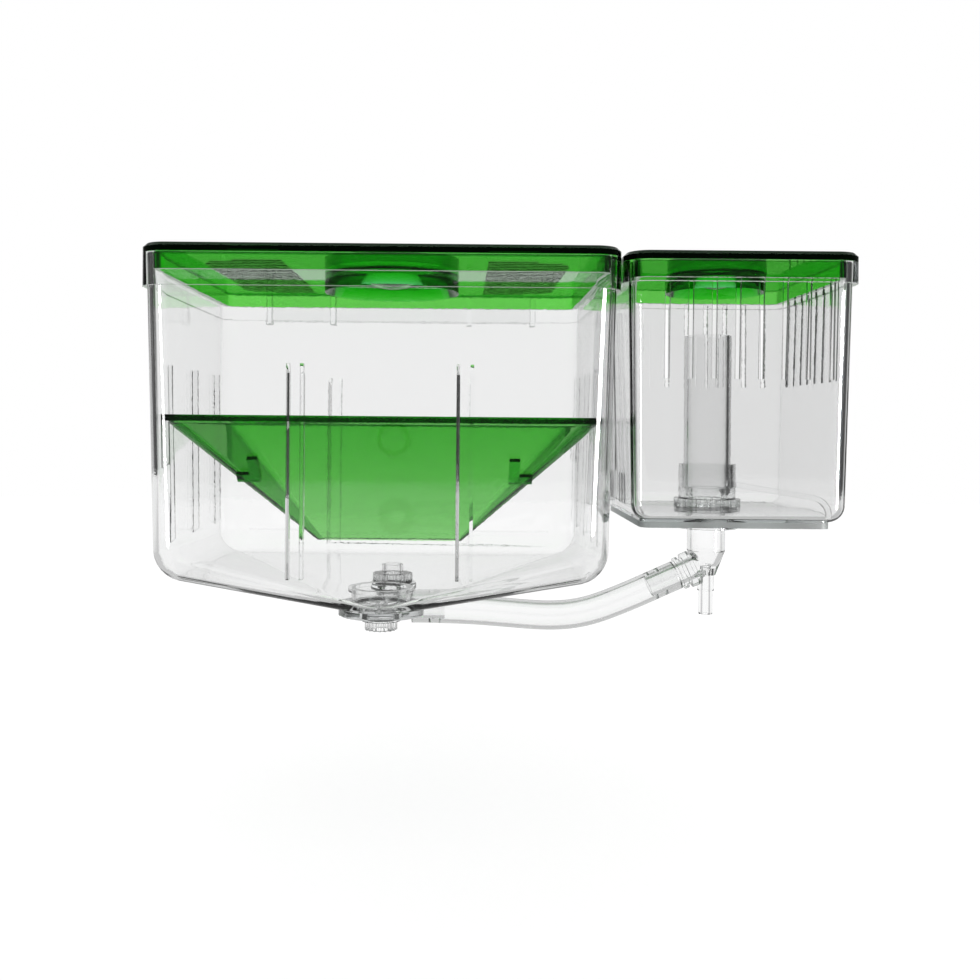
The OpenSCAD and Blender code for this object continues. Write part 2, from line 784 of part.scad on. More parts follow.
module drain_plug() {
  shank_h = strainer_floor_z - seat_low_z;
  top = seat_low_z - seal_t;
  color(clear_plastic) translate([0, sump_y, top]) {
    translate([0, 0, -plug_flange_t]) cylinder(r = plug_flange_r, h = plug_flange_t);
    cylinder(r = drain_r - plug_clear, h = seal_t + shank_h - seat_gap);
    translate([0, 0, -plug_flange_t - nub_h]) grip_nut(nub_r, nub_h, nub_r / 2);
  }
}

module plug_seal() {
  color(seal_rubber) translate([0, sump_y, seat_low_z - seal_t])
    tube(plug_flange_r - fit, drain_r, seal_t - fit);
}

// Two sharp rings near the tip of a barb along +Z
module barb_rings(length) {
  for (i = [0 : 1]) translate([0, 0, length - i * barb_pitch - barb_pitch / 2])
    cylinder(r1 = pipe_r + barb_stretch, r2 = pipe_r, h = barb_pitch / 2);
}

module drain_elbow() {
  flange_top = elbow_low_z - seal_t;
  color(clear_plastic) translate([elbow_x, elbow_y, 0]) difference() {
    union() {
      translate([0, 0, barb_z]) cylinder(r = pipe_r, h = barb_drop - pipe_top_drop);
      translate([0, 0, flange_top - elbow_flange_t])
        cylinder(r = elbow_flange_r, h = elbow_flange_t);
      translate([0, 0, barb_z]) sphere(pipe_r);
      translate([0, 0, barb_z]) rotate([0, 90, 0]) {
        cylinder(r = pipe_r, h = barb_len);
        barb_rings(barb_len);
      }
    }
    translate([0, 0, barb_z]) cylinder(r = pipe_bore_r, h = barb_drop);
    translate([0, 0, barb_z]) rotate([0, 90, 0]) cylinder(r = pipe_bore_r, h = barb_len + over);
    translate([0, 0, barb_z]) sphere(pipe_bore_r);
  }
}

module drain_seal() {
  color(seal_rubber) translate([elbow_x, elbow_y, elbow_low_z - seal_t])
    tube(elbow_flange_r, pipe_r + fit, seal_t);
}

module drain_nut() {
  color(clear_plastic) translate([elbow_x, elbow_y, elbow_high_z])
    grip_nut(drain_nut_r, drain_nut_h, pipe_r + fit);
}

// ---------- Hose ----------

// Direction of the hose at one of its route's points
function heading(i) =
  let (a = hose_route[max(0, i - 1)], b = hose_route[min(len(hose_route) - 1, i + 1)])
  (b - a) / norm(b - a);

// One ring of points square to the hose
function ring(i) =
  let (p = hose_route[i], h = heading(i))
  [for (k = [0 : hose_sides - 1])
    let (a = (k + 0.5) * 360 / hose_sides, side = hose_r * sin(a), up = hose_r * cos(a))
    [p.x - up * h.y, filter_y + side, p.y + up * h.x]];

module hose() {
  last = len(hose_route) - 1;
  points = [for (i = [0 : last]) each ring(i)];
  walls = [for (i = [0 : last - 1], k = [0 : hose_sides - 1])
    let (a = i * hose_sides + k, b = i * hose_sides + (k + 1) % hose_sides)
    [a, b, b + hose_sides, a + hose_sides]];
  ends = [
    [for (k = [hose_sides - 1 : -1 : 0]) k],
    [for (k = [0 : hose_sides - 1]) last * hose_sides + k]
  ];
  color(soft_clear) polyhedron(points, concat(walls, ends), convexity = 4);
}

// ---------- Filter tank ----------

module filter_form(inset, top) {
  end_x = filter_w / 2 - filter_draft - filter_bottom_r;
  end_y = filter_d / 2 - filter_draft - filter_bottom_r;
  hull() {
    translate([0, 0, filter_top]) linear_extrude(top)
      corner_circles(filter_w - 2 * inset, filter_d - 2 * inset, filter_corner_r - inset,
                     $fn = soft_fn);
    for (x = [-end_x, end_x], y = [-end_y, end_y])
      translate([x, y, filter_floor_z + filter_bottom_r])
        sphere(filter_bottom_r - inset, $fn = soft_fn);
  }
}

// A row of slits through a wall that lies across Y
module slit_row(count, height) {
  for (i = [0 : count - 1])
    translate([(i - (count - 1) / 2) * slit_pitch - slit_t / 2, -filter_bottom_r, 0])
      cube([slit_t, 2 * filter_bottom_r, height]);
}

module all_slits() {
  high = rim_top - slit_top_drop - slit_h;
  for (y = [-filter_d / 2, filter_d / 2])
    translate([slit_shift, y, high]) slit_row(slit_count, slit_h);
  translate([filter_w / 2, 0, high]) rotate(90) slit_row(slit_count, slit_h);
  translate([-filter_w / 2, 0, filter_floor_top_z + low_sill_h])
    rotate(90) low_slits();
}

// Low slits, left out where the runner stands on the wall
module low_slits() {
  for (side = [-1, 1], i = [1 : low_slit_count / 2])
    translate([side * (runner_w / 2 + i * low_slit_pitch), -filter_bottom_r, 0])
      cube([slit_t, 2 * filter_bottom_r, low_slit_h]);
}

// Curved rib on the front wall: a gentle slope that bends down to the floor
module curved_rib() {
  foot_x = filter_w / 2 - filter_draft - foot_short;
  inner_r = brow_r - brow_t;
  depth = wall + filter_draft + brow_out;
  bend = 90 - brow_slope;
  outer = [for (i = [0 : bend_steps]) brow_r * heading_at(i * bend / bend_steps)];
  inner = [for (i = [bend_steps : -1 : 0]) inner_r * heading_at(i * bend / bend_steps)];
  run = brow_len * heading_at(180 - brow_slope);
  translate([foot_x - brow_r, -filter_d / 2, filter_floor_top_z]) rotate([90, 0, 0])
    translate([0, 0, -depth]) linear_extrude(depth)
      polygon(concat([[brow_r, -wall]], outer, [outer[bend_steps] + run, inner[0] + run], inner,
                     [[inner_r, -wall]]));
}

// Unit vector at an angle
function heading_at(angle) = [cos(angle), sin(angle)];

// T-shaped runner on the wall next to the breeding tank
module runner() {
  low = rim_top - channel_drop - channel_h + channel_t + fit;
  high = rim_top - runner_drop;
  wall_x = filter_x - filter_w / 2 + filter_lean(-low) + wall / 2;
  translate([runner_x, filter_y - runner_w / 2, low]) cube([runner_t, runner_w, high - low]);
  web = runner_w - 2 * runner_t - 2 * runner_clear;
  translate([runner_x, filter_y - web / 2, low]) cube([wall_x - runner_x, web, high - low]);
}

module filter_tank() {
  color(clear_plastic) difference() {
    union() {
      translate([filter_x, filter_y, 0]) {
        difference() {
          filter_form(0, slab);
          filter_form(wall, over);
          all_slits();
        }
        intersection() {
          filter_form(wall / 2, slab);
          curved_rib();
        }
        translate([0, 0, filter_top - filter_rim_h]) linear_extrude(filter_rim_h) difference() {
          rounded_rect(filter_w + 2 * filter_rim_out, filter_d + 2 * filter_rim_out,
                       filter_corner_r + filter_rim_out);
          rounded_rect(filter_w - wall, filter_d - wall, filter_corner_r - wall / 2);
        }
        foot_plate();
      }
      difference() {
        runner();
        translate([filter_x, filter_y, 0]) filter_form(wall, over);
      }
    }
    translate([filter_x, filter_y, filter_top]) linear_extrude(over)
      square([filter_w + 4 * filter_rim_out, filter_d + 4 * filter_rim_out], center = true);
    translate([riser_x, filter_y, foot_low_z - over])
      cylinder(r = stem_r + fit, h = foot_t + wall + 2 * over);
  }
}

module foot_plate() {
  left = -filter_w / 2 + filter_draft + filter_bottom_r / 2;
  right = filter_w / 2 - filter_draft - foot_short;
  d = filter_d - 2 * filter_draft - filter_bottom_r;
  translate([(left + right) / 2, 0, foot_low_z])
    linear_extrude(foot_t + wall / 2) rounded_rect(right - left, d, filter_corner_r / 2);
}

// ---------- Airlift riser ----------

module riser_tube() {
  top = rim_top - riser_drop;
  color(clear_plastic) translate([riser_x, filter_y, riser_foot_z + seat_gap])
    tube(riser_r, riser_r - riser_wall, top - riser_foot_z - seat_gap);
}

module riser_collar() {
  color(clear_plastic) translate([riser_x, filter_y, nut_top_z]) difference() {
    cylinder(r = collar_r, h = riser_collar_h);
    translate([0, 0, -over]) cylinder(r = stem_r + fit, h = riser_collar_h + 2 * over);
    translate([0, 0, riser_foot_z - nut_top_z])
      cylinder(r = riser_r + riser_clear, h = socket_depth + over);
  }
}

module locking_nut() {
  color(clear_plastic) translate([riser_x, filter_y, filter_floor_top_z])
    grip_nut(nut_r, nut_h, stem_r + fit);
}

module floor_seal() {
  color(seal_rubber) translate([riser_x, filter_y, stem_flange_z])
    tube(stem_flange_r, stem_r + fit, foot_low_z - stem_flange_z);
}

module airlift_elbow() {
  throat_z = elbow_end_z + nipple_seat + throat_t;
  color(clear_plastic) translate([riser_x, filter_y, 0]) difference() {
    union() {
      translate([0, 0, shoulder_z]) cylinder(r = stem_r, h = riser_foot_z - shoulder_z);
      translate([0, 0, stem_flange_z - stem_flange_t])
        cylinder(r = stem_flange_r, h = stem_flange_t);
      translate([0, 0, elbow_end_z])
        cylinder(r1 = elbow_end_r, r2 = stem_r, h = shoulder_z - elbow_end_z);
      translate([0, 0, bend_z]) rotate([0, -90 - outlet_tilt, 0]) outlet();
    }
    translate([0, 0, shoulder_z]) cylinder(r = stem_bore_r, h = riser_foot_z - shoulder_z + over);
    translate([0, 0, throat_z])
      cylinder(r1 = pipe_bore_r, r2 = stem_bore_r, h = shoulder_z - throat_z);
    translate([0, 0, bend_z]) rotate([0, -90 - outlet_tilt, 0])
      cylinder(r = pipe_bore_r, h = outlet_len + over);
    translate([0, 0, elbow_end_z - over])
      cylinder(r = nipple_seat_r + fit, h = nipple_seat + over);
    translate([0, 0, nipple_low_z]) cylinder(r = nipple_neck_r + fit, h = elbow_end_z - nipple_low_z);
    translate([0, 0, elbow_end_z]) cylinder(r = nipple_bore_r, h = shoulder_z - elbow_end_z);
  }
}

// Side outlet along +Z: neck, collar, ring and barb
module outlet() {
  cylinder(r = pipe_r, h = outlet_len);
  cylinder(r = outlet_neck_r, h = outlet_neck - fit);
  translate([0, 0, outlet_collar_at]) cylinder(r = outlet_collar_r, h = outlet_collar_len);
  translate([0, 0, outlet_ring_at]) cylinder(r = outlet_ring_r, h = outlet_ring_len);
  barb_rings(outlet_len);
}

module air_nipple() {
  top_z = elbow_end_z + nipple_seat - fit;
  color(clear_plastic) translate([riser_x, filter_y, 0]) difference() {
    union() {
      translate([0, 0, nipple_low_z]) cylinder(r = nipple_r, h = nipple_len + fit);
      translate([0, 0, nipple_neck_z]) cylinder(r = nipple_neck_r, h = nipple_neck_len - fit);
      translate([0, 0, nipple_neck_z]) cylinder(r = nipple_seat_r, h = top_z - nipple_neck_z);
    }
    translate([0, 0, nipple_low_z - over])
      cylinder(r = nipple_bore_r, h = top_z - nipple_low_z + 2 * over);
  }
}

main_tank();
main_lid();
feeding_cap();
spawning_hopper();
drain_strainer();
drain_plug();
plug_seal();
drain_elbow();
drain_nut();
drain_seal();
hose();
filter_tank();
filter_lid();
filter_cap();
riser_tube();
riser_collar();
locking_nut();
floor_seal();
airlift_elbow();
air_nipple();
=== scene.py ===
"""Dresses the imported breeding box: hose, materials, stage, lights and camera. Units are metres."""

import math

import bmesh
import bpy
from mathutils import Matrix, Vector


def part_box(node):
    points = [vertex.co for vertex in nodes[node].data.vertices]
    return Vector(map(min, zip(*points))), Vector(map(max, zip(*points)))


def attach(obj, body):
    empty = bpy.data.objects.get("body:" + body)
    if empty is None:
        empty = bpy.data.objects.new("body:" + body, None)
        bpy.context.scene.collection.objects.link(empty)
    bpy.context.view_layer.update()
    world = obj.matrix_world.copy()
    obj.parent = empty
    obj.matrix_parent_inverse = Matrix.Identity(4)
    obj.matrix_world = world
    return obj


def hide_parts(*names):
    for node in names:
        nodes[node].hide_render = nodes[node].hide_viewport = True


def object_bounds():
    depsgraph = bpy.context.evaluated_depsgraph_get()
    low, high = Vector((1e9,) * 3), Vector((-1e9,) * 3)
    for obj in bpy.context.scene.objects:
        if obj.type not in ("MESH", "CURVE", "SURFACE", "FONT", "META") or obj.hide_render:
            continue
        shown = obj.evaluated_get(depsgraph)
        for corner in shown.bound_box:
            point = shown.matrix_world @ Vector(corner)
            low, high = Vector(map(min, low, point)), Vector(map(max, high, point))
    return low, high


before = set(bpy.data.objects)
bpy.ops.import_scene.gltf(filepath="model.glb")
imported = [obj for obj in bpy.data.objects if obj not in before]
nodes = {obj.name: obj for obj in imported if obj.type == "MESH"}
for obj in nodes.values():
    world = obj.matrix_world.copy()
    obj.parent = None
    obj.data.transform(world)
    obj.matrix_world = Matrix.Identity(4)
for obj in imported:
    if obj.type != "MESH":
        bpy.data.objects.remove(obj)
cad_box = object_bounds()
scene = bpy.context.scene

MM = 0.001


def place(name, data):
    """A new object in the scene's own collection."""
    obj = bpy.data.objects.new(name, data)
    scene.collection.objects.link(obj)
    return obj


def place_mesh(name, verts, faces):
    mesh = bpy.data.meshes.new(name)
    mesh.from_pydata(verts, [], faces)
    mesh.validate()
    mesh.update()
    return place(name, mesh)


def dress(piece, node, body):
    """The piece moves with a body and stands for a CAD node."""
    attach(piece, body)
    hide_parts(node)
    return piece


# ---------- Camera ----------

# Side, vanishing point and focal length of the photograph, in its pixels
PHOTO = 980
VANISH_X, VANISH_Y = 460, 424
FOCAL_PX = 1021
SENSOR_MM = 36.0
CAMERA_AT = (0.0273, -0.4714, -0.05195)
ROLL = math.radians(-0.5)
NEAR, FAR = 0.02, 20


def add_camera():
    """A level camera that looks along +Y, shifted to the photograph's vanishing point."""
    data = bpy.data.cameras.new("photo_camera")
    data.sensor_width = SENSOR_MM
    data.lens = SENSOR_MM * FOCAL_PX / PHOTO
    data.shift_x = (PHOTO / 2 - VANISH_X) / PHOTO
    data.shift_y = (VANISH_Y - PHOTO / 2) / PHOTO
    data.clip_start = NEAR
    data.clip_end = FAR
    camera = place("photo_camera", data)
    camera.location = CAMERA_AT
    camera.rotation_euler = (math.radians(90), ROLL, 0)
    scene.camera = camera


add_camera()

# ---------- Hose ----------

HOSE_Y = -0.0794
HOSE_R = 0.0055
HOSE_BORE_R = 0.0041
HOSE_SIDES = 40
HOSE_STEPS = 6
# Middle line of the hose in X and Z, in millimetres
HOSE_ROUTE = [
    (9.5, -122.7), (15, -122.7), (21, -122.8), (28.5, -123), (36.5, -123.4), (45, -124),
    (53, -124.6), (60.6, -124.95), (67.8, -124.7), (74.4, -123.7), (81, -121.85),
    (87.7, -119.3), (94, -116.65), (99.9, -114), (105.4, -111.5), (110.9, -109.05),
]


def spline_points(route, per_span):
    """Points of a Catmull-Rom curve through the route."""
    ends = [route[0] * 2 - route[1]] + route + [route[-1] * 2 - route[-2]]
    points = []
    for i in range(1, len(ends) - 2):
        a, b, c, d = ends[i - 1:i + 3]
        for step in range(per_span):
            t = step / per_span
            points.append(0.5 * (2 * b + (c - a) * t + (2 * a - 5 * b + 4 * c - d) * t ** 2
                                 + (3 * b - a - 3 * c + d) * t ** 3))
    return points + [route[-1]]


def tube(name, middle):
    """A hollow tube with square-cut ends, along points that lie in a plane across Y."""
    verts = []
    for i, point in enumerate(middle):
        along = (middle[min(i + 1, len(middle) - 1)] - middle[max(i - 1, 0)]).normalized()
        side = Vector((0, 1, 0))
        up = along.cross(side)
        for radius in (HOSE_R, HOSE_BORE_R):
            for k in range(HOSE_SIDES):
                angle = 2 * math.pi * k / HOSE_SIDES
                verts.append(point + radius * (math.sin(angle) * side + math.cos(angle) * up))
    faces = []
    ring = 2 * HOSE_SIDES
    for i in range(len(middle) - 1):
        for k in range(HOSE_SIDES):
            a, b = i * ring + k, i * ring + (k + 1) % HOSE_SIDES
            faces.append((b, a, a + ring, b + ring))
            a, b = a + HOSE_SIDES, b + HOSE_SIDES
            faces.append((a, b, b + ring, a + ring))
    for i, flip in ((0, False), (len(middle) - 1, True)):
        for k in range(HOSE_SIDES):
            a, b = i * ring + k, i * ring + (k + 1) % HOSE_SIDES
            quad = (a, b, b + HOSE_SIDES, a + HOSE_SIDES)
            faces.append(quad[::-1] if flip else quad)
    obj = place_mesh(name, verts, faces)
    obj.data.shade_smooth()
    return obj


def add_hose():
    route = [Vector((x * MM, HOSE_Y, z * MM)) for x, z in HOSE_ROUTE]
    middle = spline_points(route, HOSE_STEPS)
    hose = dress(tube("hose_tube", middle), "hose", "tanks")
    return hose


hose = add_hose()

# ---------- Moulded pieces ----------

# Corners nearer to each other than this are one
WELD = 2e-6
# Facets that meet at less than this are one curve, unless both are wide and flat
SMOOTH_ANGLE = math.radians(28)
FLAT_ANGLE = math.radians(0.5)
WIDE_AREA = 3e-4


def reached(start, may_cross):
    """A face and all that are reached from it across certain edges, in the order found."""
    faces, known = [start], {start}
    for face in faces:
        for edge in face.edges:
            if may_cross(edge):
                fresh = [f for f in edge.link_faces if f not in known]
                known.update(fresh)
                faces.extend(fresh)
    return faces


def in_one_plane(edge):
    return len(edge.link_faces) == 2 and edge.calc_face_angle(0) < FLAT_ANGLE


def flat_areas(bm):
    """Area of the flat stretch that each face belongs to."""
    area = {}
    for start in bm.faces:
        if start not in area:
            stretch = reached(start, in_one_plane)
            total = sum(f.calc_area() for f in stretch)
            area.update((f, total) for f in stretch)
    return area


def corner_normal(loop, area):
    """Normal at a corner of a face: its own on a wide flat, otherwise that of the curve there."""
    if area[loop.face] > WIDE_AREA:
        return loop.face.normal.copy()
    curve = reached(loop.face, lambda edge: edge.smooth and loop.vert in edge.verts)
    return sum((f.normal * area[f] ** 2 for f in curve), Vector()).normalized()


def moulded(node, body, reshape=None):
    """A copy of a CAD node with its split corners welded, its curves smooth and its flats flat."""
    mesh = nodes[node].data.copy()
    mesh.name = node + "_moulded"
    bm = bmesh.new()
    bm.from_mesh(mesh)
    bmesh.ops.remove_doubles(bm, verts=bm.verts, dist=WELD)
    bmesh.ops.dissolve_degenerate(bm, edges=bm.edges, dist=WELD)
    if reshape:
        reshape(bm)
    bm.normal_update()
    area = flat_areas(bm)
    for face in bm.faces:
        face.smooth = True
    for edge in bm.edges:
        angle = edge.calc_face_angle(0) if len(edge.link_faces) == 2 else math.pi
        both_wide = angle > FLAT_ANGLE and min(area[f] for f in edge.link_faces) > WIDE_AREA
        edge.smooth = angle < SMOOTH_ANGLE and not both_wide
    normals = [corner_normal(loop, area) for face in bm.faces for loop in face.loops]
    bm.to_mesh(mesh)
    bm.free()
    # Normals that came with the copy would stay in force
    for layer in [a.name for a in mesh.attributes if a.name == "custom_normal"]:
        mesh.attributes.remove(mesh.attributes[layer])
    mesh.normals_split_custom_set(normals)
    return dress(place(mesh.name, mesh), node, body)


# Divider rails: middle of a pair of ribs in X, half the pair's spacing, half a rib's thickness
RAIL_X = 0.029
RAIL_HALF_PITCH = 0.00235
RAIL_HALF_T = 0.0006
# Where the free tips of the front and rear ribs are in Y, and on which side their wall is
RAIL_TIPS = ((-0.1215, -0.1180, -1), (-0.0148, -0.0115, 1))
# How far a tip's inner corner falls back, on the left and on the right rib of a pair
LEFT_SLANT = 0.0012
RIGHT_SLANT = 0.0003
RAIL_SLACK = 0.0001


def slant_rail_tips(bm):
    """The ribs' tips slant, as a lead-in for a divider."""
    for vert in bm.verts:
        x, y = vert.co.xy
        for middle in (-RAIL_X, RAIL_X):
            for side, slant in ((-1, LEFT_SLANT), (1, RIGHT_SLANT)):
                corner = middle + side * (RAIL_HALF_PITCH - RAIL_HALF_T)
                if abs(x - corner) > RAIL_SLACK:
                    continue
                for low, high, to_wall in RAIL_TIPS:
                    if low < y < high:
                        vert.co.y += to_wall * slant


# Curved rib on the filter tank's front wall: its inner end, measured from the tank's front,
# and a height above all of the rib and below the slits
CURVED_RIB_END = 0.0078
ABOVE_CURVED_RIB = -0.055
CURVED_RIB_SLACK = 0.0002
RIB_BEVEL = 0.0005


def bevel_curved_rib(bm):
    """The curved rib's inner end has bevelled edges."""
    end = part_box("filter_tank")[0][1] + CURVED_RIB_END
    rims = []
    for edge in bm.edges:
        if len(edge.link_faces) != 2 or edge.calc_face_angle(0) < SMOOTH_ANGLE:
            continue
        if all(abs(v.co.y - end) < CURVED_RIB_SLACK and v.co.z < ABOVE_CURVED_RIB
               for v in edge.verts):
            rims.append(edge)
    bmesh.ops.bevel(bm, geom=rims, offset=RIB_BEVEL, segments=1, profile=0.5, affect="EDGES",
                    clamp_overlap=True)


# Undersides of the lids' plates, and how much shorter the collars round their ports are
MAIN_PLATE_LOW = 0.00575
FILTER_PLATE_LOW = 0.00515
COLLAR_CUT = 0.0042
COLLAR_SLACK = 0.001


def port(cap):
    """Middle of a lid's port in X and Y, and the radius of the cap's flange."""
    low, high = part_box(cap)
    return (low[0] + high[0]) / 2, (low[1] + high[1]) / 2, (high[0] - low[0]) / 2


def low_collar(cap, plate_low):
    """A reshaping that shortens the collar round a lid's port, so that the cap's dome shows."""
    x, y, flange_r = port(cap)

    def reshape(bm):
        for vert in bm.verts:
            near = math.hypot(vert.co.x - x, vert.co.y - y) < flange_r + COLLAR_SLACK
            if near and vert.co.z < plate_low - COLLAR_SLACK:
                vert.co.z += COLLAR_CUT
    return reshape


# Depths below a cap's top: underside of the flange, edge of the dome, its lowest point
FLANGE_T = 0.0013
DOME_EDGE = 0.0036
DOME_LOW = 0.0078
DOME_POWER = 1.4
# How far the flange stands out of the bowl, and thickness of the bowl and of the finger bar
FLANGE_STEP = 0.0024
CAP_WALL = 0.0013
BAR_T = 0.0016
CAP_ROUND = 0.0004
CAP_SIDES = 96
DOME_STEPS = 14
ON_AXIS = 1e-6


def cap_profile(top, flange_r, bowl_r, inner_r):
    """Radius and height of a cap's outline: underside, flange, top edge, inside of the bowl."""
    def dome(radius, lift):
        share = radius / bowl_r
        return top - DOME_LOW + (DOME_LOW - DOME_EDGE) * share ** DOME_POWER + lift

    flange_low = top - FLANGE_T
    underside = [(bowl_r * i / DOME_STEPS, dome(bowl_r * i / DOME_STEPS, 0))
                 for i in range(DOME_STEPS + 1)]
    inside = [(inner_r * i / DOME_STEPS, dome(inner_r * i / DOME_STEPS, CAP_WALL))
              for i in range(DOME_STEPS, -1, -1)]
    return underside + [
        (bowl_r, flange_low), (flange_r - CAP_ROUND, flange_low),
        (flange_r, flange_low + CAP_ROUND), (flange_r, top - CAP_ROUND),
        (flange_r - CAP_ROUND, top), (inner_r + CAP_ROUND, top), (inner_r, top - CAP_ROUND),
    ] + inside


def place_bmesh(name, bm):
    mesh = bpy.data.meshes.new(name)
    bm.to_mesh(mesh)
    bm.free()
    return place(name, mesh)


def turned(name, profile, x, y):
    """A profile turned about the upright axis through x and y."""
    bm = bmesh.new()
    angles = [2 * math.pi * k / CAP_SIDES for k in range(CAP_SIDES)]
    rings = []
    for radius, z in profile:
        if radius < ON_AXIS:
            rings.append([bm.verts.new((x, y, z))])
        else:
            rings.append([bm.verts.new((x + radius * math.cos(a), y + radius * math.sin(a), z))
                          for a in angles])
    for a, b in zip(rings, rings[1:]):
        for k in range(CAP_SIDES):
            n = (k + 1) % CAP_SIDES
            corners = [a[k % len(a)], a[n % len(a)], b[n % len(b)], b[k % len(b)]]
            # Two of the corners are one where a ring is a point on the axis
            bm.faces.new(list(dict.fromkeys(corners)))
    bmesh.ops.recalc_face_normals(bm, faces=bm.faces)
    return place_bmesh(name, bm)


def finger_bar(name, x, y, top, inner_r):
    """The bar across a cap's bowl, sunk into the bowl's wall and floor."""
    low, high = top - DOME_LOW + CAP_WALL / 2, top - CAP_ROUND
    bm = bmesh.new()
    bmesh.ops.create_cube(bm, size=1)
    for vert in bm.verts:
        vert.co = (x + vert.co.x * (2 * inner_r + CAP_WALL), y + vert.co.y * BAR_T,
                   (low + high) / 2 + vert.co.z * (high - low))
    return place_bmesh(name, bm)


def unite(obj, tool):
    """Makes one solid of both, in place of the object's mesh; the tool is removed."""
    join = obj.modifiers.new("join", "BOOLEAN")
    join.operation = "UNION"
    join.solver = "EXACT"
    join.object = tool
    bpy.context.view_layer.update()
    joined = obj.evaluated_get(bpy.context.evaluated_depsgraph_get())
    mesh = bpy.data.meshes.new_from_object(joined)
    obj.modifiers.clear()
    obj.data = mesh
    bpy.data.objects.remove(tool)


def domed_cap(node, body):
    """A port cap: flange, bowl with a domed underside, and finger bar."""
    x, y, flange_r = port(node)
    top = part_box(node)[1][2]
    bowl_r = flange_r - FLANGE_STEP
    inner_r = bowl_r - CAP_WALL
    cap = turned(node + "_domed", cap_profile(top, flange_r, bowl_r, inner_r), x, y)
    unite(cap, finger_bar(node + "_bar", x, y, top, inner_r))
    cap.data.shade_smooth()
    cap.data.set_sharp_from_angle(angle=SMOOTH_ANGLE)
    return dress(cap, node, body)


main_tank = moulded("main_tank", "tanks", slant_rail_tips)
filter_tank = moulded("filter_tank", "tanks", bevel_curved_rib)
main_lid = moulded("main_lid", "main_lid",
                   low_collar("feeding_cap", MAIN_PLATE_LOW))
filter_lid = moulded("filter_lid", "filter_lid",
                     low_collar("filter_cap", FILTER_PLATE_LOW))
hopper = moulded("spawning_hopper", "spawning_hopper")
feeding_cap = domed_cap("feeding_cap", "feeding_cap")
filter_cap = domed_cap("filter_cap", "filter_cap")

# ---------- Materials ----------

WHITE = (1, 1, 1, 1)


class Nodes:
    """Short helpers for building one material."""

    def __init__(self, name):
        self.material = bpy.data.materials.new(name)
        self.start(self.material, "ShaderNodeOutputMaterial")

    def start(self, owner, output_kind):
        owner.use_nodes = True
        self.tree = owner.node_tree
        self.tree.nodes.clear()
        self.output = self.add(output_kind)

    def add(self, kind, **values):
        node = self.tree.nodes.new(kind)
        for key, value in values.items():
            if key in node.inputs:
                node.inputs[key].default_value = value
            else:
                setattr(node, key, value)
        return node

    def link(self, source, target):
        self.tree.links.new(source, target)

    def feed(self, value, socket):
        """Links another node's output to a socket, or puts a number or colour in it."""
        if isinstance(value, bpy.types.NodeSocket):
            self.link(value, socket)
        else:
            socket.default_value = value


def ramp(m, value, low, high, at_low, at_high):
    """A smooth change from one strength to another as a value grows."""
    change = m.add("ShaderNodeMapRange", interpolation_type="SMOOTHSTEP")
    for name, number in (("From Min", low), ("From Max", high),
                         ("To Min", at_low), ("To Max", at_high)):
        change.inputs[name].default_value = number
    m.link(value, change.inputs["Value"])
    return change.outputs["Result"]


def maths(m, operation, *values):
    node = m.add("ShaderNodeMath", operation=operation)
    for value, socket in zip(values, node.inputs):
        m.feed(value, socket)
    return node.outputs["Value"]


def mix(m, kind, factor, first, second):
    node = m.add("ShaderNodeMix", data_type=kind)
    for value, name in ((factor, "Factor"), (first, "A"), (second, "B")):
        m.feed(value, node.inputs[name])
    return node.outputs["Result"]


def axes_of(m, vector):
    """The X, Y and Z of a vector, by name."""
    split = m.add("ShaderNodeSeparateXYZ")
    m.link(vector, split.inputs["Vector"])
    return split.outputs


def coordinates(m, space):
    return axes_of(m, m.add("ShaderNodeTexCoord").outputs[space])


def surface_normal(m):
    return axes_of(m, m.add("ShaderNodeNewGeometry").outputs["Normal"])


# Spans of a normal's Z and X over which a face stops being upright and starts to lean
# to a side
UPRIGHT_SPAN = (0.3, 0.6)
LEANING_SPAN = (0.4, 0.6)


def on_upright(m, normal):
    """1 on upright faces and 0 on level ones."""
    return ramp(m, maths(m, "ABSOLUTE", normal["Z"]), *UPRIGHT_SPAN, 1.0, 0.0)


# Noise and bump of the two unevennesses that moulding leaves: slow waves, then fine grain
UNEVENNESS = (
    ({"Scale": 30, "Detail": 1.0, "Roughness": 0.4}, {"Strength": 0.6, "Distance": 0.0001}),
    ({"Scale": 900, "Detail": 2.0, "Roughness": 0.5}, {"Strength": 0.5, "Distance": 0.00001}),
)


def add_bump(m, shader):
    where = m.add("ShaderNodeTexCoord").outputs["Object"]
    below = None
    for noise_values, bump_values in UNEVENNESS:
        noise = m.add("ShaderNodeTexNoise", **noise_values)
        bump = m.add("ShaderNodeBump", **bump_values)
        m.link(where, noise.inputs["Vector"])
        m.link(noise.outputs["Fac"], bump.inputs["Height"])
        if below:
            m.link(below.outputs["Normal"], bump.inputs["Normal"])
        below = bump
    m.link(below.outputs["Normal"], shader.inputs["Normal"])


def paint_edge_shade(m, shader, above, tint, side_shade):
    """Painted shade where a plate is seen along its length: upright edges above a height are
    painted darker with the tint, and faces that lean to a side with the side shade."""
    normal = surface_normal(m)
    high = maths(m, "GREATER_THAN", coordinates(m, "Object")["Z"], above)
    edge = maths(m, "MULTIPLY", on_upright(m, normal), high)
    leaning = ramp(m, maths(m, "ABSOLUTE", normal["X"]), *LEANING_SPAN, 0.0, 1.0)
    # Painted shade: this base colour darkens edges and sides, and is not the plastic's own colour
    colour = mix(m, "RGBA", edge, mix(m, "RGBA", leaning, WHITE, side_shade), tint)
    m.link(colour, shader.inputs["Base Color"])


RIM_ROUGHNESS = 0.6
# Grey of painted shade on the foot's edges; the roughness is their matt finish
RIM_SHADE_GREY = (0.8, 0.8, 0.8, 1)


